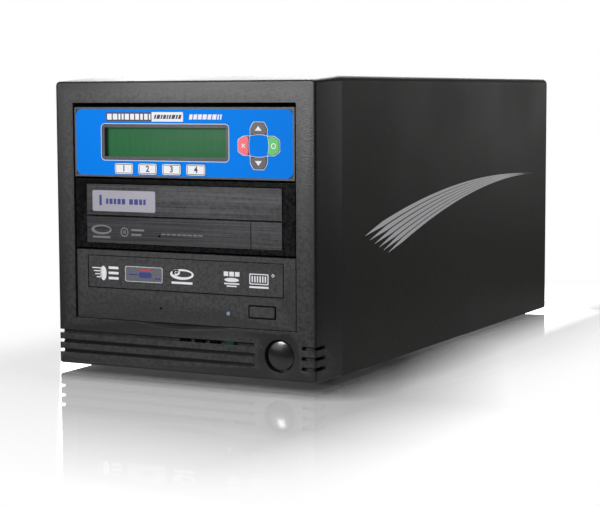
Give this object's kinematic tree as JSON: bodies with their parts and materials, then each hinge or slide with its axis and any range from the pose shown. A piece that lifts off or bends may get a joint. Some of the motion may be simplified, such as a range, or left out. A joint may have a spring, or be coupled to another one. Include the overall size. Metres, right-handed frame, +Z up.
{
  "type": "cd dvd duplicator tower",
  "caption": "Compact desktop tower that copies optical discs, with a master drive, a writer drive, a keypad panel with a display, and a rear power supply.",
  "frame": {"origin": "middle of the tower's outer box, on the surface that its feet stand on", "axes": "+Z up, the front faces -Y, +X is to the right of someone who looks at the front"},
  "size_m": [0.175, 0.3828, 0.175],
  "materials": {
    "powder_coat": "fine matt powder coat",
    "zinc_steel": "zinc-plated sheet",
    "black_screw": "black finish",
    "bezel_plastic": "fine-grained satin",
    "rubber": "matt",
    "dark_window": "dark tinted",
    "green_window": "green tinted",
    "button_gloss": "polished",
    "overlay_blue": "satin film",
    "panel_plastic": "satin",
    "display_glass": "backlit green glass",
    "key_white": "satin",
    "key_dark": "satin",
    "key_red": "satin",
    "key_green": "satin",
    "gloss_black": "polished",
    "brushed_black": "fine horizontal brushing",
    "drive_plastic": "matt",
    "lamp_clear": "clear",
    "tray_plastic": "satin",
    "loader_plastic": "satin",
    "gear_plastic": "satin",
    "motor_steel": "plain",
    "board_green": "solder mask",
    "connector_black": "satin",
    "fan_black": "satin",
    "lead_black": "satin sleeve"
  },
  "bodies": {
    "tower": {"top_cover": "powder_coat", "base_pan": "powder_coat", "rear_panel": "powder_coat", "front_plate": "zinc_steel", "bay_brackets": "zinc_steel", "rubber_feet": "rubber", "rear_screws": "black_screw", "bay_screws": "zinc_steel", "front_bezel": "bezel_plastic", "status_windows": "dark_window", "power_window": "green_window", "power_switch": "connector_black", "panel_face": "panel_plastic", "panel_overlay": "overlay_blue", "display_glass": "display_glass", "panel_board": "board_green", "panel_carrier": "zinc_steel", "controller_board": "board_green", "master_bezel": "gloss_black", "master_plate": "brushed_black", "writer_bezel": "drive_plastic", "writer_lamp": "lamp_clear", "drive_boards": "board_green", "loading_motors": "motor_steel", "psu_shell": "zinc_steel", "power_inlet": "connector_black", "rocker_case": "connector_black", "case_fan_frame": "fan_black", "data_socket": "connector_black", "internal_leads": "lead_black", "master_casing": "zinc_steel", "master_loader_frame": "loader_plastic", "writer_casing": "zinc_steel", "writer_loader_frame": "loader_plastic"},
    "key_one": {"key_one": "key_white"},
    "key_two": {"key_two": "key_white"},
    "key_three": {"key_three": "key_white"},
    "key_four": {"key_four": "key_white"},
    "key_up": {"key_up": "key_dark"},
    "key_confirm": {"key_confirm": "key_green"},
    "key_down": {"key_down": "key_dark"},
    "key_cancel": {"key_cancel": "key_red"},
    "power_button": {"power_button": "button_gloss"},
    "psu_rocker": {"psu_rocker": "connector_black"},
    "supply_fan_rotor": {"supply_fan_rotor": "fan_black"},
    "case_fan_rotor": {"case_fan_rotor": "fan_black"},
    "master_tray": {"master_tray": "tray_plastic", "master_tray_front": "brushed_black"},
    "master_loading_gear": {"master_loading_gear": "gear_plastic"},
    "master_eject_button": {"master_eject_button": "brushed_black"},
    "master_traverse": {"master_traverse": "motor_steel"},
    "master_turntable": {"master_turntable": "motor_steel"},
    "master_sled": {"master_sled": "motor_steel"},
    "writer_tray": {"writer_tray": "tray_plastic", "writer_tray_front": "drive_plastic"},
    "writer_loading_gear": {"writer_loading_gear": "gear_plastic"},
    "writer_eject_button": {"writer_eject_button": "drive_plastic"},
    "writer_traverse": {"writer_traverse": "motor_steel"},
    "writer_turntable": {"writer_turntable": "motor_steel"},
    "writer_sled": {"writer_sled": "motor_steel"}
  },
  "joints": [
    {"name": "key_one_press", "type": "slide", "parent": "tower", "child": "key_one", "axis": [0, 1, 0], "range_m": [0, 0.0004], "stiffness_N_per_m": 500},
    {"name": "key_two_press", "type": "slide", "parent": "tower", "child": "key_two", "axis": [0, 1, 0], "range_m": [0, 0.0004], "stiffness_N_per_m": 500},
    {"name": "key_three_press", "type": "slide", "parent": "tower", "child": "key_three", "axis": [0, 1, 0], "range_m": [0, 0.0004], "stiffness_N_per_m": 500},
    {"name": "key_four_press", "type": "slide", "parent": "tower", "child": "key_four", "axis": [0, 1, 0], "range_m": [0, 0.0004], "stiffness_N_per_m": 500},
    {"name": "key_up_press", "type": "slide", "parent": "tower", "child": "key_up", "axis": [0, 1, 0], "range_m": [0, 0.0004], "stiffness_N_per_m": 500},
    {"name": "key_confirm_press", "type": "slide", "parent": "tower", "child": "key_confirm", "axis": [0, 1, 0], "range_m": [0, 0.0004], "stiffness_N_per_m": 500},
    {"name": "key_down_press", "type": "slide", "parent": "tower", "child": "key_down", "axis": [0, 1, 0], "range_m": [0, 0.0004], "stiffness_N_per_m": 500},
    {"name": "key_cancel_press", "type": "slide", "parent": "tower", "child": "key_cancel", "axis": [0, 1, 0], "range_m": [0, 0.0004], "stiffness_N_per_m": 500},
    {"name": "power_press", "type": "slide", "parent": "tower", "child": "power_button", "axis": [0, 1, 0], "range_m": [0, 0.0025], "stiffness_N_per_m": 300},
    {"name": "rocker_tilt", "type": "hinge", "parent": "tower", "child": "psu_rocker", "pos_m": [0.046, 0.1844, 0.0658], "axis": [1, 0, 0], "range_deg": [0, 16]},
    {"name": "supply_fan_spin", "type": "hinge", "parent": "tower", "child": "supply_fan_rotor", "pos_m": [-0.027, 0.178, 0.0468], "axis": [0, 1, 0], "continuous": true},
    {"name": "case_fan_spin", "type": "hinge", "parent": "tower", "child": "case_fan_rotor", "pos_m": [-0.034, 0.178, 0.132], "axis": [0, 1, 0], "continuous": true},
    {"name": "master_tray_slide", "type": "slide", "parent": "tower", "child": "master_tray", "axis": [0, -1, 0], "range_m": [0, 0.135]},
    {"name": "master_gear_turn", "type": "hinge", "parent": "tower", "child": "master_loading_gear", "pos_m": [-0.045, -0.1654, 0.0942], "axis": [0, 0, 1], "range_deg": [0, 970]},
    {"name": "master_eject_press", "type": "slide", "parent": "tower", "child": "master_eject_button", "axis": [0, 1, 0], "range_m": [0, 0.001], "stiffness_N_per_m": 300},
    {"name": "master_traverse_lift", "type": "hinge", "parent": "tower", "child": "master_traverse", "pos_m": [0, -0.0404, 0.0842], "axis": [-1, 0, 0], "range_deg": [0, 4.5]},
    {"name": "master_turntable_spin", "type": "hinge", "parent": "master_traverse", "child": "master_turntable", "pos_m": [0, -0.1224, 0.0942], "axis": [0, 0, 1], "continuous": true},
    {"name": "master_sled_slide", "type": "slide", "parent": "master_traverse", "child": "master_sled", "axis": [0, 1, 0], "range_m": [0, 0.034]},
    {"name": "writer_tray_slide", "type": "slide", "parent": "tower", "child": "writer_tray", "axis": [0, -1, 0], "range_m": [0, 0.135]},
    {"name": "writer_gear_turn", "type": "hinge", "parent": "tower", "child": "writer_loading_gear", "pos_m": [-0.045, -0.1654, 0.0519], "axis": [0, 0, 1], "range_deg": [0, 970]},
    {"name": "writer_eject_press", "type": "slide", "parent": "tower", "child": "writer_eject_button", "axis": [0, 1, 0], "range_m": [0, 0.001], "stiffness_N_per_m": 300},
    {"name": "writer_traverse_lift", "type": "hinge", "parent": "tower", "child": "writer_traverse", "pos_m": [0, -0.0404, 0.0419], "axis": [-1, 0, 0], "range_deg": [0, 4.5]},
    {"name": "writer_turntable_spin", "type": "hinge", "parent": "writer_traverse", "child": "writer_turntable", "pos_m": [0, -0.1224, 0.0519], "axis": [0, 0, 1], "continuous": true},
    {"name": "writer_sled_slide", "type": "slide", "parent": "writer_traverse", "child": "writer_sled", "axis": [0, 1, 0], "range_m": [0, 0.034]}
  ],
  "couplings": [
    {"joint": "master_gear_turn", "follows": "master_tray_slide", "rad_per_m": 125},
    {"joint": "writer_gear_turn", "follows": "writer_tray_slide", "rad_per_m": 125}
  ]
}
